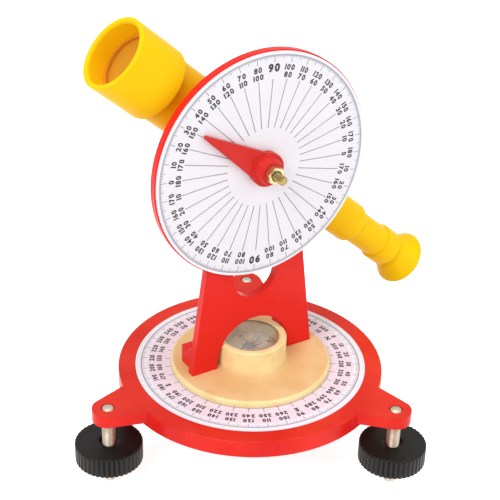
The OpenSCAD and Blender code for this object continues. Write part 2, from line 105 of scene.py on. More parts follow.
def mesh_points(mesh):
    """A mesh's vertices as an array, one row each."""
    numbers = np.empty(len(mesh.vertices) * 3)
    mesh.vertices.foreach_get("co", numbers)
    return numbers.reshape(-1, 3)


BACK = np.array(joint("elevation_tilt")["axis"], float)
PIVOT = np.array(joint("elevation_tilt")["pos_m"], float) / MM
SPINDLE = basis((BACK[1], -BACK[0], 0.0), UP, PIVOT)


def depth_range(node):
    """Rearmost and foremost point of a node, as distances in front of the pivot along the spindle."""
    along = -(mesh_points(nodes[node].data) / MM - PIVOT) @ BACK
    return along.min(), along.max()


dial_front = depth_range("vertical_circle")[1]
flat_top = box_mm("horizontal_circle")[1][2]
FLAT = standing(0, 0, flat_top)


# ---------------------------------------------------------------- meshes from arrays

def new_mesh(name, points, faces, material, body, smooth):
    """A mesh object from points in millimetres, riding on a body, with edges sharp past an angle."""
    mesh = bpy.data.meshes.new(name)
    mesh.from_pydata((points * MM).tolist(), [], faces)
    mesh.validate()
    mesh.polygons.foreach_set("use_smooth", np.ones(len(mesh.polygons), bool))
    if smooth:
        mesh.set_sharp_from_angle(angle=math.radians(smooth))
    mesh.materials.append(material)
    piece = bpy.data.objects.new(name, mesh)
    bpy.context.scene.collection.objects.link(piece)
    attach(piece, body)
    return piece


def carry(place, points):
    """Local points carried to the object's frame by a 4 by 4 matrix."""
    return points @ place[:3, :3].T + place[:3, 3]


def grid_faces(rows, cols):
    """Quads of a grid whose columns run all the way round, row by row."""
    r, c = np.meshgrid(np.arange(rows - 1), np.arange(cols), indexing="ij")
    a = r * cols + c
    b = r * cols + (c + 1) % cols
    return np.stack([a, b, b + cols, a + cols], -1).reshape(-1, 4).tolist()


def revolve(radii, heights, turns):
    """Points of a surface of revolution about +Z.

    radii is a grid of profile point by direction, which lets ribs and threads change the radius with
    direction. heights is such a grid or one number for each row. Point = (r cos t, r sin t, h).
    """
    t = np.arange(turns) * TAU / turns
    if heights.ndim == 1:
        heights = np.repeat(heights[:, None], turns, 1)
    return np.stack([radii * np.cos(t), radii * np.sin(t), heights], -1).reshape(-1, 3)


def closed_turn(radii, heights, turns):
    """A revolved surface whose two ends are closed by one point each. The profile runs upwards."""
    body = revolve(radii, heights, turns)
    rows = len(body) // turns
    low = np.array([[0, 0, body[:turns, 2].mean()]])
    high = np.array([[0, 0, body[-turns:, 2].mean()]])
    points = np.concatenate([body, low, high])
    faces = grid_faces(rows, turns)
    i = np.arange(turns)
    j = (i + 1) % turns
    last = (rows - 1) * turns
    faces += np.stack([j, i, np.full(turns, len(body))], -1).tolist()
    faces += np.stack([last + i, last + j, np.full(turns, len(body) + 1)], -1).tolist()
    return points, faces


def ring_turn(radii, heights, turns):
    """A revolved surface whose profile is a closed loop, counter-clockwise in (radius, height)."""
    body = revolve(radii, heights, turns)
    rows = len(body) // turns
    faces = grid_faces(rows, turns)
    i = np.arange(turns)
    j = (i + 1) % turns
    last = (rows - 1) * turns
    faces += np.stack([last + i, last + j, j, i], -1).tolist()
    return body, faces


def join(*shells):
    """Several (points, faces) shells as one."""
    points, faces, start = [], [], 0
    for p, f in shells:
        points.append(p)
        faces += [[start + k for k in face] for face in f]
        start += len(p)
    return np.concatenate(points), faces


# ---------------------------------------------------------------- shader maths

class Val:
    """A shader socket. Operators on it add Math nodes, so a formula reads as one."""

    def __init__(self, tree, socket):
        self.tree = tree
        self.socket = socket

    def math(self, operation, other):
        return self.tree.node("Math", {"operation": operation}, {0: self, 1: other})

    def __add__(self, other):
        return self.math("ADD", other)

    def __radd__(self, other):
        return self.math("ADD", other)

    def __sub__(self, other):
        return self.math("SUBTRACT", other)

    def __rsub__(self, other):
        return self.tree.node("Math", {"operation": "SUBTRACT"}, {0: other, 1: self})

    def __mul__(self, other):
        return self.math("MULTIPLY", other)

    def __rmul__(self, other):
        return self.math("MULTIPLY", other)

    def __gt__(self, other):
        return self.math("GREATER_THAN", other)

    def power(self, exponent):
        return self.math("POWER", exponent)

    def clipped(self):
        return self.math("MINIMUM", 1.0).math("MAXIMUM", 0.0)

    def ramp(self, low, high):
        """0 below low, 1 above high, smooth between."""
        return self.tree.node("MapRange", {"interpolation_type": "SMOOTHSTEP"},
                              {"Value": self, "From Min": low, "From Max": high})


class Tree:
    """A material's or the world's nodes, and its output."""

    def __init__(self, owner, output):
        owner.use_nodes = True
        self.nodes = owner.node_tree.nodes
        self.links = owner.node_tree.links
        self.nodes.clear()
        self.output = self.nodes.new("ShaderNode" + output)

    def surface(self, shader):
        """Shows a shader as the surface."""
        self.feed(self.output.inputs["Surface"], shader)

    def feed(self, socket, value):
        """Gives a socket a link, a colour or a plain value."""
        if isinstance(value, Val):
            self.links.new(value.socket, socket)
        elif isinstance(value, tuple) and len(value) == 3 and socket.type == "RGBA":
            socket.default_value = (*value, 1.0)
        else:
            socket.default_value = value

    def node(self, kind, settings=None, inputs=None, outlet=0):
        """Adds a node of a type, sets its settings first, then its sockets, and returns an outlet."""
        added = self.nodes.new("ShaderNode" + kind)
        for key, value in (settings or {}).items():
            setattr(added, key, value)
        for key, value in (inputs or {}).items():
            self.feed(added.inputs[key], value)
        return Val(self, added.outputs[outlet])

    def rays(self):
        """Three values that are 1 for a ray from the camera, off something glossy, or through glass."""
        kinds = ("Camera", "Glossy", "Transmission")
        return [self.node("LightPath", outlet=f"Is {kind} Ray") for kind in kinds]


class Finish(Tree):
    """One material: a Principled shader, and the nodes that its formulas add."""

    def __init__(self, name, **constants):
        self.material = bpy.data.materials.new(name)
        super().__init__(self.material, "OutputMaterial")
        self.principled = self.node("BsdfPrincipled")
        self.surface(self.principled)
        for key, value in constants.items():
            self.set(key.replace("_", " "), value)

    def set(self, name, value):
        """Sets a socket of the Principled shader to a constant or a formula."""
        self.feed(self.principled.socket.node.inputs[name], value)

    def place(self):
        """The point on the object at rest, in millimetres."""
        coords = self.node("TexCoord", outlet="Object")
        return self.node("VectorMath", {"operation": "SCALE"}, {0: coords, "Scale": 1 / MM})

    def noise(self, place, size, detail, rough=0.5, stretch=None):
        """Fractal noise from 0 to 1 whose blobs measure about size millimetres.

        detail is the number of finer layers, and rough how strongly each of them counts.
        """
        if stretch:
            place = self.node("VectorMath", {"operation": "MULTIPLY"}, {0: place, 1: stretch})
        return self.node("TexNoise", None, {"Vector": place, "Scale": 1 / size, "Detail": detail,
                                            "Roughness": rough})

    def mix(self, first, second, factor):
        """Colour between two colours by a factor."""
        return self.node("Mix", {"data_type": "RGBA"}, {0: factor, 6: first, 7: second}, outlet=2)

    def edges(self, radius):
        """Normal rounded over edges within a radius in millimetres."""
        return self.node("Bevel", {"samples": 6}, {"Radius": radius * MM})

    def bump(self, height, depth, normal=None):
        """Raises the surface by height, from 0 to 1, times depth in millimetres."""
        inputs = {"Height": height, "Distance": depth * MM, "Strength": 1.0}
        if normal is not None:
            inputs["Normal"] = normal
        self.set("Normal", self.node("Bump", None, inputs))

    def dot(self, place, axis):
        """Distance along an axis."""
        return self.node("VectorMath", {"operation": "DOT_PRODUCT"},
                         {0: place, 1: tuple(float(a) for a in axis)}, outlet="Value")

    def away(self, place, centre):
        """Place counted from a centre."""
        return self.node("VectorMath", {"operation": "SUBTRACT"},
                         {0: place, 1: tuple(float(c) for c in centre)})

    def radius(self, place, first=ACROSS, second=DEEP):
        """Distance from the axis square to two directions: the root of x squared plus y squared."""
        x, y = self.dot(place, first), self.dot(place, second)
        return (x * x + y * y).power(0.5)


def flow_marks(f, at):
    """Long soft clouds where the plastic ran into its mould."""
    return f.noise(at, size=9.0, detail=4.0, rough=0.6, stretch=(1.0, 1.0, 0.35))


def satin(name, rough, grain, edge_round, coat, shine):
    """Moulded plastic before its colour: satin flow marks, scuffs, fine grain and softened edges.

    Roughness is rough, plus 0.14 times the flow marks about their middle, plus 0.1 times the scuffs.
    The mould's texture, grain deep, is 0.35 fine grain and 0.65 orange peel. edge_round is the radius
    that the edges show.
    """
    f = Finish(name, Coat_Roughness=0.12, Coat_Weight=coat, Specular_IOR_Level=shine)
    at = f.place()
    scuff = f.noise(at, size=3.5, detail=6.0, rough=0.72, stretch=(0.25, 1.0, 1.0)).ramp(0.6, 0.72)
    f.set("Roughness", (flow_marks(f, at) - 0.5) * 0.14 + (scuff * 0.1 + rough))
    fine = f.noise(at, size=0.45, detail=3.0, rough=0.6)
    orange_peel = f.noise(at, size=2.2, detail=2.0)
    f.bump(fine * 0.35 + orange_peel * 0.65, grain, f.edges(edge_round))
    return f


def moulded(name, colour, shade, **skin):
    """Moulded plastic in a slow cloud between two colours. skin is what satin takes.

    The shade's share is 0.7 times the cloud plus 0.5 times the flow marks less 0.2, from 0 to 1.
    """
    f = satin(name, **skin)
    at = f.place()
    cloud = f.noise(at, size=28.0, detail=2.0)
    share = (cloud * 0.7 + flow_marks(f, at) * 0.5 - 0.2).clipped()
    f.set("Base Color", f.mix(colour, shade, share))
    return f.material


def stains(f, at):
    """Small clouds of tarnish."""
    return f.noise(at, size=3.0, detail=4.0, rough=0.6)


def tooled(name, rough, stretch):
    """Turned metal before its colour: fine tool marks, and stains that are rougher.

    Roughness is rough less 0.16, plus 0.16 times the marks, plus 0.2 times the stains.
    """
    f = Finish(name, Metallic=1.0)
    at = f.place()
    marks = f.noise(at, size=0.35, detail=4.0, rough=0.6, stretch=stretch)
    f.set("Roughness", stains(f, at) * 0.2 + (marks * 0.16 + rough - 0.16))
    f.bump(marks, 0.012, f.edges(0.12))
    return f


def dull_steel():
    """Plated steel, warm, and darker by 1.3 times the stains less 0.3."""
    f = tooled("steel", rough=0.4, stretch=(1.0, 1.0, 4.0))
    spots = (stains(f, f.place()) * 1.3 - 0.3).clipped()
    f.set("Base Color", f.mix((0.76, 0.67, 0.56), (0.5, 0.43, 0.33), spots))
    return f.material


def threaded_brass(name, colour, shade, groove_r, unshaded_r):
    """Brass round the spindle's axis, with painted shade: near black within a radius, for the shade in the
    thread's grooves and round the nut's bore, and unshaded outside another radius.

    The end face of the spindle is left unshaded too.
    """
    f = tooled(name, rough=0.34, stretch=(1.0, 1.0, 1.0))
    at = f.place()
    off = f.away(at, SPINDLE[:3, 3])
    outer = f.radius(off, SPINDLE[:3, 0], SPINDLE[:3, 1]).ramp(groove_r, unshaded_r)
    end = depth_range("spindle")[1]
    unshaded = (outer + f.dot(off, SPINDLE[:3, 2]).ramp(end - 0.6, end - 0.3)).clipped()
    # painted shade: near black in the thread's grooves and round the nut's bore
    painted_groove_shade = (0.03, 0.025, 0.015)
    f.set("Base Color", f.mix(painted_groove_shade, f.mix(colour, shade, stains(f, at)), unshaded))
    return f.material


def clear(name, tint):
    """Clear glass or acrylic whose faint wiping marks add up to 0.05 to a roughness of 0.015."""
    f = Finish(name, IOR=1.49, Base_Color=tint, Transmission_Weight=1.0)
    wipe = f.noise(f.place(), size=5.0, detail=5.0, rough=0.7, stretch=(0.3, 1.0, 1.0))
    f.set("Roughness", wipe.ramp(0.45, 0.8) * 0.05 + 0.015)
    return f


def filmed(name, tint, film_and_shade_colour, least, most, size):
    """Clear glass under a diffuse veil that lies in streaks, from a least to a most share. On the compass cover
    the veil is a thin film; on the front lens it is painted shade, the ochre of the yellow tube's shaded inside
    seen through the glass.
    """
    f = clear(name, tint)
    veil = f.node("BsdfDiffuse", None, {"Color": film_and_shade_colour})
    streaks = f.noise(f.place(), size, detail=5.0, rough=0.65, stretch=(1.0, 0.4, 1.0)).ramp(0.35, 0.7)
    share = streaks * (most - least) + least
    f.surface(f.node("MixShader", None, {0: share, 1: f.principled, 2: veil}))
    return f.material


def sheet_print(name, place, inner, outer, change_r, rough):
    """Printed plastic sheet: one tint inside a radius, another outside it, under a thin gloss.

    Grime covers 0.35 of what a cloud has over 0.45. Roughness is rough plus 0.15 times a finer cloud.
    """
    f = Finish(name, Coat_Weight=0.25, Coat_Roughness=0.2)
    at = f.away(f.place(), place[:3, 3])
    radius = f.radius(at, place[:3, 0], place[:3, 1])
    tint = f.mix(inner, outer, radius.ramp(change_r - 0.3, change_r + 0.3))
    grime = (0.62, 0.6, 0.66)
    soiled = (f.noise(at, size=14.0, detail=4.0) - 0.45).clipped() * 0.35
    f.set("Base Color", f.mix(tint, grime, soiled))
    f.set("Roughness", f.noise(at, size=4.0, detail=4.0) * 0.15 + rough)
    f.bump(f.noise(at, size=0.6, detail=2.0), 0.006)
    return f.material


def cream_finish():
    """Cream plastic with painted light and shade: a darker, more orange copy on the upper face of the disc as
    painted shade, and a paler copy on the compass housing and along the rim of the disc as painted light.
    """
    f = satin("cream_plastic", rough=0.36, grain=0.02, edge_round=0.4, coat=0.05, shine=0.2)
    at = f.place()
    disc_rim = box_mm("turntable")[1][0]
    disc_top = 43.2
    wide = f.noise(at, size=20.0, detail=3.0).ramp(0.35, 0.65)
    small = f.noise(at, size=6.0, detail=4.0).ramp(0.35, 0.7)
    # painted shade on the upper face of the disc, painted light on the housing
    disc = f.mix((0.79, 0.54, 0.27), (0.73, 0.46, 0.2), wide)
    housing = f.mix((0.94, 0.78, 0.4), (0.88, 0.68, 0.31), small)
    # painted light covers the housing above the disc and the rim of the disc
    above = f.dot(at, UP).ramp(disc_top + 0.2, disc_top + 1.8)
    outside = f.radius(at).ramp(disc_rim - 1.5, disc_rim - 0.7)
    f.set("Base Color", f.mix(disc, housing, (above + outside * 0.8).clipped()))
    return f.material


BRIGHT_RED, SHADED_RED = (0.83, 0.024, 0.014), (0.7, 0.012, 0.009)
RED_SKIN = {"rough": 0.30, "grain": 0.02, "edge_round": 0.45, "coat": 0.04, "shine": 0.12}


def base_finish():
    """The red of the moulded base, with painted shade on its upper face: a warmer, duller red than on its sides,
    for how the light falls on a face turned up.
    """
    f = satin("base_plastic", **RED_SKIN)
    at = f.place()
    cloud = f.noise(at, size=26.0, detail=3.0).ramp(0.3, 0.7)
    # painted shade: the upper face takes a warmer, duller red than the sides
    top = f.mix((0.71, 0.036, 0.018), (0.63, 0.019, 0.011), cloud)
    side = f.mix(BRIGHT_RED, SHADED_RED, cloud)
    high = box_mm("base_plate")[1][2]
    f.set("Base Color", f.mix(side, top, f.dot(at, UP).ramp(high - 0.9, high - 0.1)))
    return f.material


RED = moulded("red_plastic", BRIGHT_RED, SHADED_RED, **RED_SKIN)
# painted shade: the pointer is the same red plastic, made darker for the shade that falls on it
POINTER_PAINTED_SHADE = moulded("pointer_red_painted_shade", (0.66, 0.026, 0.018), (0.56, 0.016, 0.012),
                   rough=0.34, grain=0.02, edge_round=0.45, coat=0.04, shine=0.15)
CREAM = cream_finish()
# painted shade: the ring deep in the hood is the yellow plastic as a darker, more orange copy
YELLOW_PAINTED_SHADE = moulded("yellow_plastic_painted_shade", (0.66, 0.27, 0.02), (0.6, 0.23, 0.016),
                rough=0.4, grain=0.03, edge_round=0.2, coat=0.0, shine=0.1)
YELLOW = moulded("yellow_plastic", (0.98, 0.64, 0.006), (0.9, 0.48, 0.004),
                 rough=0.38, grain=0.03, edge_round=0.35, coat=0.0, shine=0.05)
BLACK = moulded("black_plastic", (0.005, 0.0045, 0.004), (0.011, 0.01, 0.009),
                rough=0.36, grain=0.03, edge_round=0.2, coat=0.04, shine=0.22)
FIBRE = moulded("fibre_washer", (0.05, 0.045, 0.04), (0.09, 0.08, 0.07),
                rough=0.75, grain=0.05, edge_round=0.1, coat=0.0, shine=0.3)
STEEL = dull_steel()
ROD_BRASS = threaded_brass("dull_brass", (0.46, 0.34, 0.13), (0.24, 0.18, 0.06),
                           groove_r=1.5, unshaded_r=1.9)
NUT_BRASS = threaded_brass("bright_brass", (0.86, 0.7, 0.4), (0.5, 0.38, 0.17),
                           groove_r=2.25, unshaded_r=2.75)
GLASS = clear("clear_glass", (0.96, 0.98, 0.97)).material
COMPASS_GLASS = filmed("compass_cover", (1.0, 0.98, 0.94), (0.92, 0.88, 0.76),
                       least=0.0, most=0.22, size=16.0)
# painted shade: an ochre veil over most of the front lens for the shaded inside of the yellow tube
LENS_PAINTED_TUBE_SHADE = filmed("front_lens", (0.98, 0.9, 0.7), (0.78, 0.36, 0.03),
                     least=0.7, most=0.8, size=14.0)
TALL_SHEET = sheet_print("vertical_print", SPINDLE, (0.77, 0.755, 0.795), (0.83, 0.82, 0.85),
                         change_r=50.6, rough=0.3)
FLAT_SHEET = sheet_print("horizontal_print", FLAT, (0.81, 0.67, 0.77), (0.8, 0.78, 0.85),
                         change_r=48.4, rough=0.35)


def ink_finish(name, colour):
    """Screen-printed ink: nearly flat colour that thins out in spots."""
    f = Finish(name)
    spots = f.noise(f.place(), size=0.5, detail=3.0).ramp(0.62, 0.75)
    thin = tuple(c * 0.6 + 0.2 for c in colour)
    f.set("Base Color", f.mix(colour, thin, spots * 0.4))
    f.set("Roughness", spots * 0.2 + 0.4)
    return f.material


INK = ink_finish("black_ink", (0.012, 0.012, 0.016))
GREY_INK = ink_finish("grey_ink", (0.25, 0.25, 0.29))
PALE_INK = ink_finish("pale_ink", (0.42, 0.42, 0.5))


def needle_finish():
    """Blued north half and bright south half of the magnetic needle, with a brass cap between."""
    needle_angle = 54.3
    cap_r = 1.62
    f = Finish("needle_blue", Metallic=0.9)
    low, high = box_mm("compass_needle")
    north = math.radians(needle_angle)
    at = f.away(f.place(), (0, 0, (low[2] + high[2]) / 2))
    along = f.dot(at, (math.cos(north), math.sin(north), 0))
    blued, bright, brass = (0.02, 0.025, 0.05), (0.55, 0.53, 0.5), (0.62, 0.45, 0.18)
    halves = f.mix(blued, bright, along > 0.0)
    f.set("Base Color", f.mix(brass, halves, f.radius(at) > cap_r))
    f.set("Roughness", f.noise(at, size=1.2, detail=3.0) * 0.2 + 0.22)
    return f.material


def card_finish():
    """Aged pale paper under the compass glass."""
    f = Finish("compass_paper")
    at = f.place()
    cloud = f.noise(at, size=5.0, detail=4.0)
    f.set("Base Color", f.mix((0.95, 0.82, 0.62), (0.72, 0.58, 0.4), cloud))
    f.set("Roughness", cloud * 0.2 + 0.5)
    f.bump(f.noise(at, size=0.5, detail=2.0), 0.01)
    return f.material


# ---------------------------------------------------------------- printing

def glyphs(letters, bold):
    """Each letter's flat mesh, scaled so that the first is 1 tall: points, faces and width."""
    shapes = {}
    for letter in letters:
        data = bpy.data.curves.new("glyph", "FONT")
        data.body = letter
        data.offset = bold
        data.resolution_u = 3
        holder = bpy.data.objects.new("glyph", data)
        bpy.context.scene.collection.objects.link(holder)
        shown = holder.evaluated_get(bpy.context.evaluated_depsgraph_get())
        mesh = bpy.data.meshes.new_from_object(shown)
        shapes[letter] = (mesh_points(mesh)[:, :2], [list(p.vertices) for p in mesh.polygons])
        bpy.data.objects.remove(holder)
        bpy.data.curves.remove(data)
        bpy.data.meshes.remove(mesh)
    heights = shapes[letters[0]][0][:, 1]
    out = {}
    for letter, (points, faces) in shapes.items():
        scaled = (points - [points[:, 0].min(), heights.min()]) / np.ptp(heights)
        out[letter] = (scaled, faces, np.ptp(scaled[:, 0]))
    return out


LETTERS = "0123456789NESW"
PLAIN = glyphs(LETTERS, bold=0.045)
BOLD = glyphs(LETTERS, bold=0.055)
letter_gap = 0.16
fine_ticks = [a for a in range(360) if a % 5]
five_ticks = range(5, 360, 10)
ten_ticks = range(0, 360, 10)


class Print:
    """Ink on a flat sheet: strokes, rings and numbers, in the sheet's own millimetres."""

    def __init__(self, spin):
        self.shells = []
        self.spin = math.radians(spin)

    def stroke(self, degrees, inner, outer, width):
        """Straight radial lines at an array of angles, counter-clockwise from the right."""
        a = np.radians(degrees) + self.spin
        along = np.stack([np.cos(a), np.sin(a)], -1)
        side = np.stack([-np.sin(a), np.cos(a)], -1) * width / 2
        quads = np.stack([along * inner - side, along * outer - side, along * outer + side,
                          along * inner + side], 1)
        faces = np.arange(len(a) * 4).reshape(-1, 4).tolist()
        self.shells.append((quads.reshape(-1, 2), faces))

    def ticks(self, ring_r, starts, widths):
        """Ticks out to a ring at every ten, five and one degrees, each kind with its start and width."""
        for degrees, start, width in zip((ten_ticks, five_ticks, fine_ticks), starts, widths):
            self.stroke(degrees, start, ring_r, width)

    def circle(self, radius, width, turns=360):
        """A thin ring."""
        t = np.arange(turns) * TAU / turns
        ray = np.stack([np.cos(t), np.sin(t)], -1)
        points = np.concatenate([ray * (radius - width / 2), ray * (radius + width / 2)])
        i = np.arange(turns)
        j = (i + 1) % turns
        self.shells.append((points, np.stack([i, i + turns, j + turns, j], -1).tolist()))

    def word(self, text, degrees, radius, height, font):
        """A number or letter centred at an angle and radius, its top outwards."""
        widths = [font[letter][2] for letter in text]
        pen = -(sum(widths) + letter_gap * (len(text) - 1)) / 2
        a = math.radians(degrees) + self.spin
        out = np.array([math.cos(a), math.sin(a)])
        across = np.array([math.sin(a), -math.cos(a)])
        for letter, width in zip(text, widths):
            points, faces, _ = font[letter]
            x = (points[:, :1] + pen) * height
            y = (points[:, 1:] - 0.5) * height
            self.shells.append((out * (radius + y) + across * x, faces))
            pen += width + letter_gap

    def fan(self, corners):
        """A flat polygon given by (angle, radius) corners."""
        a = np.radians([c[0] for c in corners]) + self.spin
        r = np.array([c[1] for c in corners])
        self.shells.append((np.stack([r * np.cos(a), r * np.sin(a)], -1), [list(range(len(corners)))]))

    def lay(self, name, place, material, body, thick=0.03):
        """Lays the print on the sheet at a place, as ink of a real thickness."""
        points, faces = join(*self.shells)
        flat = np.column_stack([points, np.full(len(points), thick)])
        piece = new_mesh(name, carry(place, flat), faces, material, body, smooth=0)
        body_of_ink = piece.modifiers.new("thickness", "SOLIDIFY")
        body_of_ink.thickness = thick * MM
        body_of_ink.offset = -1.0


flat_north = 27.5


def print_vertical_circle():
    """Four quadrants of 0 to 90 and back, two rows, with one large 90 above and below the spindle."""
    spin = -4.2
    ring_r = 50.4
    outer_row, inner_row, digit_h, ninety_h = 45.2, 41.9, 2.6, 3.8
    line_in, line_out = 18.2, 40.1
    place = moved(SPINDLE, dial_front)
    dark = Print(spin)
    for a in ten_ticks:
        if a in (90, 270):
            dark.word("90", a, outer_row - 0.2, ninety_h, BOLD)
            continue
        first, second = (180 - a, a) if a <= 180 else (360 - a, a - 180)
        dark.word(str(first), a, outer_row, digit_h, PLAIN)
        dark.word(str(second), a, inner_row, digit_h, PLAIN)
    dark.lay("vertical_circle_numbers", place, INK, "turntable")
    rim = Print(spin)
    rim.circle(ring_r + 0.1, 0.8)
    rim.lay("vertical_circle_rim_line", place, PALE_INK, "turntable", 0.02)
    rules = Print(spin)
    rules.ticks(ring_r, starts=(47.4, 48.7, 49.4), widths=(0.3, 0.26, 0.17))
    rules.stroke(ten_ticks, line_in, line_out, 0.36)
    rules.lay("vertical_circle_lines", place, GREY_INK, "turntable")


def print_horizontal_circle():
    """Compass degrees clockwise in the outer row, counter-clockwise and N E S W in the inner row."""
    ring_r = 51.3
    outer_row, inner_row, digit_h = 46.4, 42.9, 2.45
    letter_h = digit_h * 1.15
    line_in, line_out = 36.5, 40.2
    dark = Print(flat_north)
    for bearing in ten_ticks:
        a = -bearing
        dark.word(str(bearing), a, outer_row, digit_h, BOLD)
        if bearing % 90:
            dark.word(str(360 - bearing), a, inner_row, digit_h, BOLD)
        else:
            dark.word("NESW"[bearing // 90], a, inner_row, letter_h, BOLD)
    dark.lay("horizontal_circle_numbers", FLAT, INK, "base")
    rules = Print(flat_north)
    rules.circle(ring_r, 0.4)
    rules.ticks(ring_r, starts=(48.6, 49.5, 50.0), widths=(0.3, 0.24, 0.16))
    rules.stroke(ten_ticks, line_in, line_out, 0.34)
    rules.lay("horizontal_circle_lines", FLAT, GREY_INK, "base")


def print_compass_card():
    """A plain compass rose: eight points, a degree ring and four letters."""
    ring_r, ring_in, two_degree_in = 12.4, 11.0, 11.9
    letter_row, letter_h = 9.6, 1.9
    long_tip, short_tip, waist, heart = 7.6, 5.2, 1.9, 0.9
    dark = Print(flat_north)
    dark.circle(ring_r, 0.18, 180)
    dark.circle(ring_in, 0.12, 180)
    dark.stroke(ten_ticks, ring_in, ring_r, 0.16)
    dark.stroke(range(0, 360, 2), two_degree_in, ring_r, 0.09)
    for i, letter in enumerate("NESW"):
        dark.word(letter, -90 * i, letter_row, letter_h, BOLD)
    for a in range(0, 360, 45):
        tip = short_tip if a % 90 else long_tip
        dark.fan([(a, heart), (a - 45, waist), (a, tip)])
    card_top = box_mm("compass_card")[1][2]
    dark.lay("compass_rose", standing(0, 0, card_top), INK, "turntable", 0.02)


# ---------------------------------------------------------------- turned and knurled pieces

def thread_radius(theta, z, crest, pitch):
    """Radius of a right-hand thread: a flattened triangle wave of z over the pitch less a turn."""
    depth = 0.6 * pitch
    wave = np.abs(((z / pitch - theta / TAU) % 1.0) * 2 - 1)
    return crest - depth * np.clip(wave * 1.3 - 0.15, 0, 1)


def threaded_rod(crest, low, high, pitch, tip_r=None, tip_len=0.0, plain_to=None):
    """A rod from low to high with a chamfer at the top and, if asked, a plain tip at the bottom.

    Its radius is the thread's, held down by a cone at each end, and the crest's up to plain_to.
    """
    turns = 40
    rows_per_pitch = 12
    start = low + tip_len
    z = np.append(np.arange(start, high, pitch / rows_per_pitch), high)
    theta = np.arange(turns) * TAU / turns
    r = thread_radius(theta[None, :], z[:, None], crest, pitch)
    r = np.minimum(r, crest * 0.78 + (high - z)[:, None])
    if plain_to is not None:
        r = np.where(z[:, None] < plain_to, crest, r)
    if tip_r:
        tip_round = 0.35
        r = np.minimum(r, tip_r + (z - start)[:, None])
        foot_r = [tip_r - tip_round, tip_r, tip_r]
        foot_z = [low, low + tip_round, start - 0.01]
    else:
        sunk = 0.3
        foot_r = [crest - sunk]
        foot_z = [low - sunk]
    r = np.concatenate([np.repeat(np.array(foot_r)[:, None], turns, 1), r])
    return closed_turn(r, np.concatenate([foot_z, z]), turns)


def levelling_screws():
    """Each levelling screw as an M6 rod with its real thread, in place of the plain CAD rod."""
    pitch = 1.0
    tip_len = 2.0
    mounts = frame["record"]["mounts"]
    tip_r = next(m for m in mounts if m["name"] == "foot_tips")["dims"]["stud_r_mm"]
    for side in SIDES:
        node = "levelling_screw_" + side
        low, high = box_mm(node)
        centre = (low + high) / 2
        crest = (high - low)[0] / 2 - 0.02
        points, faces = threaded_rod(crest, low[2], high[2], pitch, tip_r, tip_len)
        place = standing(centre[0], centre[1], 0)
        piece = new_mesh("levelling_thread_" + side, carry(place, points), faces, STEEL,
                         "screw_" + side, 50)
        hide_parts(node)


def knob_profile(radius, tall):
    """Radii and heights of a knob from the foot of its bore, out, up and back in, as a closed loop.

    Both rims are quarter circles, and round the screw the top is sunk.
    """
    edge = 0.8
    bore = 3.06
    sink = 1.2
    flat_r = radius - 3.2
    quarter = np.linspace(0, math.pi / 2, 7)
    side_z = np.linspace(edge, tall - edge, 5)[1:-1]
    foot_r = [bore, bore + 3, flat_r]
    top_r = [radius - 1.6, flat_r, bore + 2.5, bore + 1.6, bore + 1.4, bore + 0.3, bore]
    top_z = [tall, tall, tall, tall, tall - 0.12, tall - sink, tall - sink]
    r = np.concatenate([foot_r, radius - edge + edge * np.sin(quarter), np.full(len(side_z), radius),
                        radius - edge + edge * np.cos(quarter), top_r])
    z = np.concatenate([np.zeros(len(foot_r)), edge - edge * np.cos(quarter), side_z,
                        tall - edge + edge * np.sin(quarter), top_z])
    return r, z


def levelling_knobs():
    """Each knob as a moulded disc: rounded grip ribs that fade out into the rounded rims.

    The rib's shape across one rib is flat on top and falls smoothly into the groove, and a mask over
    the profile carries it only down the side.
    """
    ribs = 42
    per_rib = 12
    groove = 0.62
    turns = ribs * per_rib
    phase = (np.arange(turns) / per_rib) % 1.0 - 0.5
    dip = np.clip((np.abs(phase) - 0.2) / 0.3, 0, 1)
    dip = dip * dip * (3 - 2 * dip)
    for side in SIDES:
        node = "levelling_knob_" + side
        low, high = box_mm(node)
        centre = (low + high) / 2
        radius = (high - low)[0] / 2
        r, z = knob_profile(radius, high[2] - low[2])
        mask = np.clip((r - (radius - 1.5)) / 1.3, 0, 1)
        grid = r[:, None] - groove * mask[:, None] * dip[None, :]
        points, faces = ring_turn(grid, z, turns)
        place = standing(centre[0], centre[1], low[2])
        piece = new_mesh("levelling_grip_" + side, carry(place, points), faces, BLACK,
                         "knob_" + side, 60)
        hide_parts(node)


def hex_radius(theta, across):
    """Radius of a hexagon of a given width across its flats."""
    return across / 2 / np.cos((theta + math.pi / 6) % (math.pi / 3) - math.pi / 6)


def hexagon(across, low, high, bore=None):
    """A hexagon nut or head with chamfered corners, and a bore if one is given.

    The chamfer falls at 30 degrees outside the circle that touches the flats.
    """
    turns = 96
    bore_edge = 0.3
    side = hex_radius(np.arange(turns) * TAU / turns, across)
    touch = np.full(turns, across / 2 * 0.97)
    fall = (side - touch) * math.tan(math.radians(30))
    level = np.zeros(turns)
    rows_r = [touch, side, side, touch]
    rows_z = [low + level, low + fall, high - fall, high + level]
    if bore is None:
        return closed_turn(np.array(rows_r), np.array(rows_z), turns)
    inner = np.full(turns, bore)
    rows_r = [inner] + rows_r + [inner + bore_edge, inner]
    rows_z = [low + level] + rows_z + [high + level, high - bore_edge + level]
    return ring_turn(np.array(rows_r), np.array(rows_z), turns)


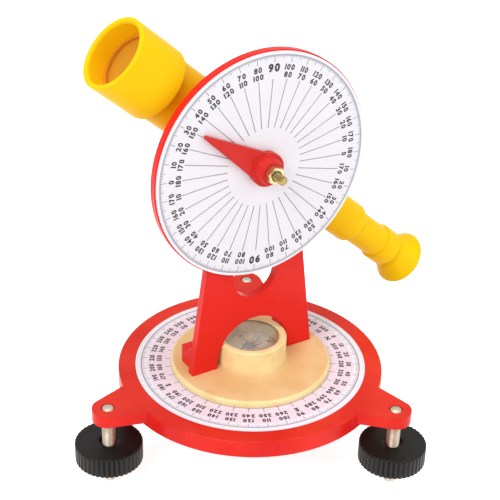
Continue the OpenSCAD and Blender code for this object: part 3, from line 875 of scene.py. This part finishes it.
def spindle_and_nut():
    """The brass bolt with its real M4 thread and hexagon head, and the chamfered nut in front."""
    across = 7.0
    head_h = 3.0
    crest = 1.97
    pitch = 0.7
    nut_bore = 2.06
    back_end, front_end = depth_range("spindle")
    nut_low, nut_high = depth_range("spindle_nut")
    head_top = back_end + head_h
    rod = threaded_rod(crest, head_top - 0.2, front_end, pitch, plain_to=nut_low - 2)
    points, faces = join(hexagon(across, back_end, head_top), rod)
    bolt = new_mesh("spindle_bolt", carry(SPINDLE, points), faces, ROD_BRASS, "telescope", 50)
    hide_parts("spindle")
    points, faces = hexagon(across, nut_low, nut_high, nut_bore)
    place = turned(SPINDLE, 12.0)
    nut = new_mesh("spindle_hex_nut", carry(place, points), faces, NUT_BRASS, "telescope", 25)
    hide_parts("spindle_nut")


# ---------------------------------------------------------------- finishes of the CAD nodes

def dress():
    """Gives each CAD node that stays its finish."""
    finishes = {
        base_finish(): ["base_plate"],
        RED: ["upright", "circle_backing"],
        POINTER_PAINTED_SHADE: ["pointer"],
        CREAM: ["turntable", "compass_bezel"],
        YELLOW: ["telescope_barrel", "objective_hood", "draw_tube", "eyecup"],
        YELLOW_PAINTED_SHADE: ["objective_ring"],
        STEEL: ["centre_bolt", "centre_washer", "centre_nut", "compass_pivot", "upright_screws",
                "circle_screws"],
        FIBRE: ["friction_washer"],
        GLASS: ["crosshair_glass", "eyepiece_lens"],
        COMPASS_GLASS: ["compass_glass"],
        LENS_PAINTED_TUBE_SHADE: ["objective_lens"],
        TALL_SHEET: ["vertical_circle"],
        FLAT_SHEET: ["horizontal_circle"],
        needle_finish(): ["compass_needle"],
        card_finish(): ["compass_card"],
    }
    for material, names in finishes.items():
        for name in names:
            mesh = nodes[name].data
            mesh.materials.clear()
            mesh.materials.append(material)


# ---------------------------------------------------------------- floor, light and camera

def floor():
    """A pale floor that shows white to the camera, in metal and in glass, and keeps the object's shadow."""
    half = 6.0
    corners = [(-half, -half, 0), (half, -half, 0), (half, half, 0), (-half, half, 0)]
    mesh = bpy.data.meshes.new("floor")
    mesh.from_pydata(corners, [], [(0, 1, 2, 3)])
    plane = bpy.data.objects.new("floor", mesh)
    bpy.context.scene.collection.objects.link(plane)
    f = Finish("floor_white", Roughness=0.9, Base_Color=(0.9, 0.9, 0.9))
    camera_ray, glossy_ray, glass_ray = f.rays()
    seen = (camera_ray + glossy_ray + glass_ray).clipped()
    glow = f.node("Emission", None, {"Color": (1.0, 1.0, 1.0), "Strength": seen * 0.78})
    f.surface(f.node("AddShader", None, {0: f.principled, 1: glow}))
    mesh.materials.append(f.material)


def soft_light(name, aim, place, size, power):
    """A large square lamp aimed at a point, all in metres."""
    lamp = bpy.data.lights.new(name, "AREA")
    lamp.shape = "SQUARE"
    lamp.size = size
    lamp.energy = power
    holder = bpy.data.objects.new(name, lamp)
    bpy.context.scene.collection.objects.link(holder)
    holder.location = place
    holder.rotation_euler = (Vector(place) - Vector(aim)).to_track_quat("Z", "Y").to_euler()


def studio():
    """Even white surroundings and three soft lamps, at a level where colours render as written.

    The surroundings are as strong as ambient, in metal and through glass as mirrored, and as shown
    to the camera.
    """
    ambient, mirrored, shown = 0.5, 0.8, 1.0
    world = bpy.data.worlds.new("studio")
    bpy.context.scene.world = world
    sky = Tree(world, "OutputWorld")
    camera_ray, glossy_ray, glass_ray = sky.rays()
    around = glossy_ray.math("MAXIMUM", glass_ray) * (mirrored - ambient) + ambient
    sky.surface(sky.node("Background", None, {"Color": (1.0, 1.0, 1.0),
                                              "Strength": camera_ray * (shown - ambient) + around}))
    aim = (0.0, 0.0, 0.08)
    soft_light("key", aim, (-0.55, -0.75, 0.95), 0.7, 9.0)
    soft_light("fill", aim, (0.9, -0.45, 0.5), 0.8, 3.5)
    soft_light("top", aim, (0.05, 0.15, 1.2), 0.8, 5.0)


def camera():
    """The photograph's view: found by fitting the circles, lugs and dial of the real-size model.

    The camera looks along +Y, is tilted down by pitch, rolled about its own axis, and swung by yaw.
    """
    focal_px, frame_px = 1322.8, 500.0
    pitch, roll = math.radians(29.728), math.radians(1.689)
    yaw_degrees = -2.284
    eye = np.array([-22.23, -515.57, 394.94])
    forward = np.array([0, math.cos(pitch), -math.sin(pitch)])
    level_right = np.array([1.0, 0, 0])
    level_up = np.cross(level_right, forward)
    right = math.cos(roll) * level_right + math.sin(roll) * level_up
    up = -math.sin(roll) * level_right + math.cos(roll) * level_up
    swing = turned(np.eye(4), yaw_degrees)[:3, :3]
    place = np.eye(4)
    place[:3, :3] = swing @ np.stack([right, up, -forward], 1)
    place[:3, 3] = eye * MM
    data = bpy.data.cameras.new("camera")
    data.sensor_width = 36.0
    data.sensor_fit = "HORIZONTAL"
    data.lens = focal_px / frame_px * data.sensor_width
    data.clip_start = 0.01
    holder = bpy.data.objects.new("camera", data)
    bpy.context.scene.collection.objects.link(holder)
    holder.matrix_world = Matrix(place.tolist())
    bpy.context.scene.camera = holder


camera()
floor()
studio()
dress()
print_vertical_circle()
print_horizontal_circle()
print_compass_card()
levelling_screws()
levelling_knobs()
spindle_and_nut()

bpy.context.scene.view_settings.view_transform = "Standard"
